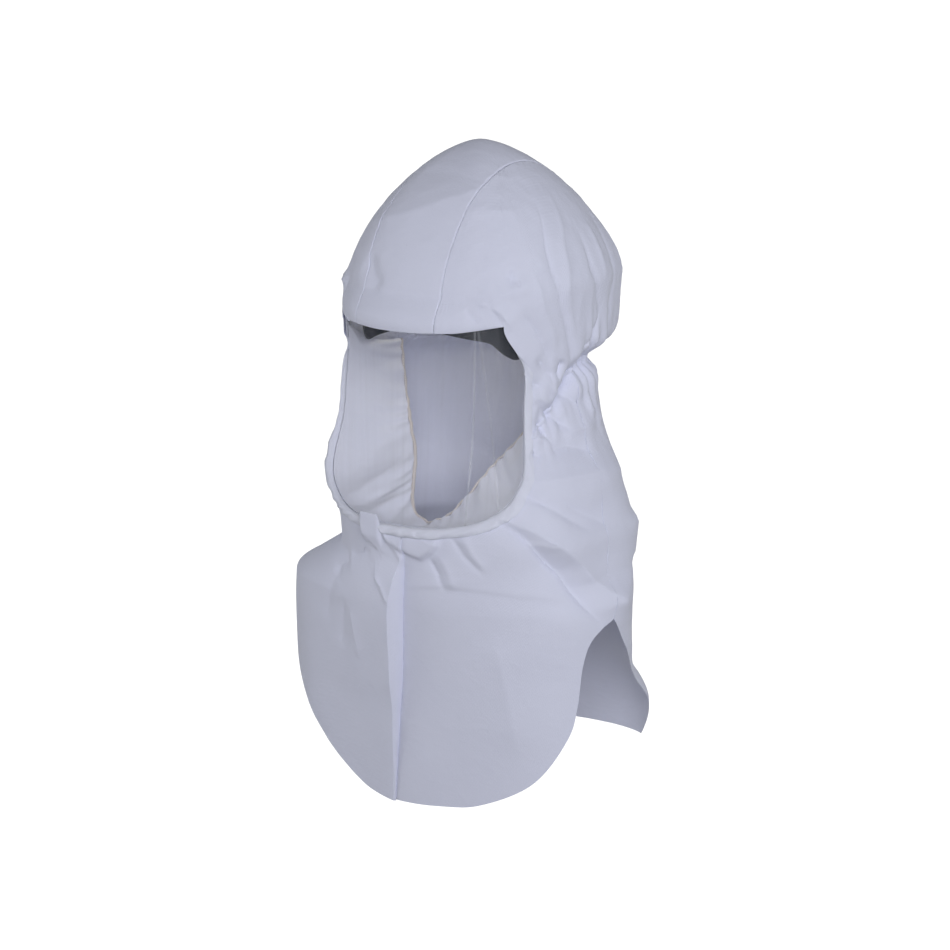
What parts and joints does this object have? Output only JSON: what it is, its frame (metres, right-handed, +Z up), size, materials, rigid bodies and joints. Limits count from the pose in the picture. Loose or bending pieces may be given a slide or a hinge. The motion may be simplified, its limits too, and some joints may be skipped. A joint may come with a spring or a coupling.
{
  "type": "disposable respirator hood",
  "caption": "Loose nonwoven head hood with a clear wraparound visor, face seal, head band, elastic-gathered neck, and a front bib and back cape that drape over the shoulders.",
  "frame": {"origin": "middle of the head band at brow level, where the hood sits on the wearer's head, level with the lower edge of the brow hem", "axes": "+Z up, the face looks along -Y, +X towards the wearer's left"},
  "size_m": [0.3263, 0.2967, 0.5743],
  "materials": {
    "cloth": "matt white nonwoven with a faint lavender tint",
    "film": "clear flexible film, glossy",
    "tape": "turned and sewn cloth tape",
    "elastic": "sewn elastic edge, pale beige",
    "band": "dark grey moulded plastic"
  },
  "bodies": {
    "root": {"crown_gusset": "cloth", "crown_side_left": "cloth", "crown_side_right": "cloth", "visor_lens": "film", "visor_tape": "tape", "neck_elastic": "cloth", "bib_left": "cloth", "bib_right": "cloth", "cape_back": "cloth", "front_flange": "cloth", "face_seal": "cloth", "seal_elastic": "elastic", "head_band": "band"}
  },
  "joints": []
}
